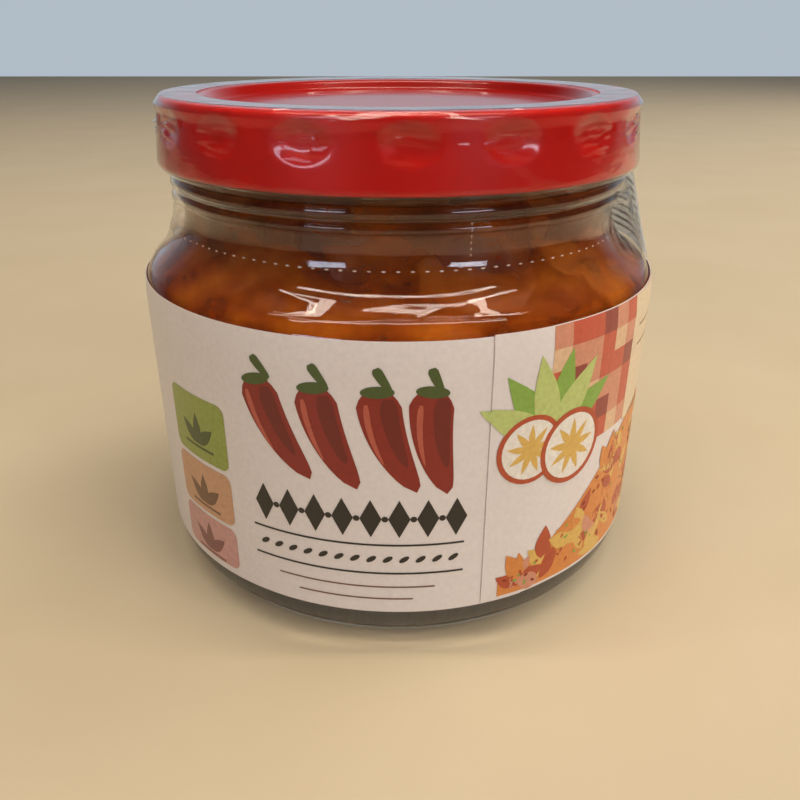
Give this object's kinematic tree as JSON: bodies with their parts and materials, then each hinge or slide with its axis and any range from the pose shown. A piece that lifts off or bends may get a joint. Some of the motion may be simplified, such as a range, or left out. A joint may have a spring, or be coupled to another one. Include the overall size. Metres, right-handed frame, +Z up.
{
  "type": "kimchi jar",
  "caption": "Squat clear glass jar of sliced kimchi, shut by a red dimpled metal lid, with a clear shrink band over lid and neck and a paper label round the body.",
  "frame": {"origin": "middle of the ring that the jar stands on, at the height of the surface under it", "axes": "+Z up along the jar's axis, -Y towards the front of the label"},
  "size_m": [0.0792, 0.0792, 0.0719],
  "materials": {
    "clear_glass": "smooth moulded soda-lime glass",
    "red_enamel": "glossy red lacquer on tinplate",
    "kimchi_food": "wet orange-brown cabbage in brine",
    "label_paper": "glossy coated label paper with printed colour fields",
    "clear_film": "clear shrink film, glossy and lightly crinkled",
    "seal_paper": "matte white sticker paper"
  },
  "bodies": {
    "root": {"glass_jar": "clear_glass", "lid": "red_enamel", "kimchi": "kimchi_food", "label": "label_paper", "shrink_band": "clear_film", "paper_seal": "seal_paper"}
  },
  "joints": []
}
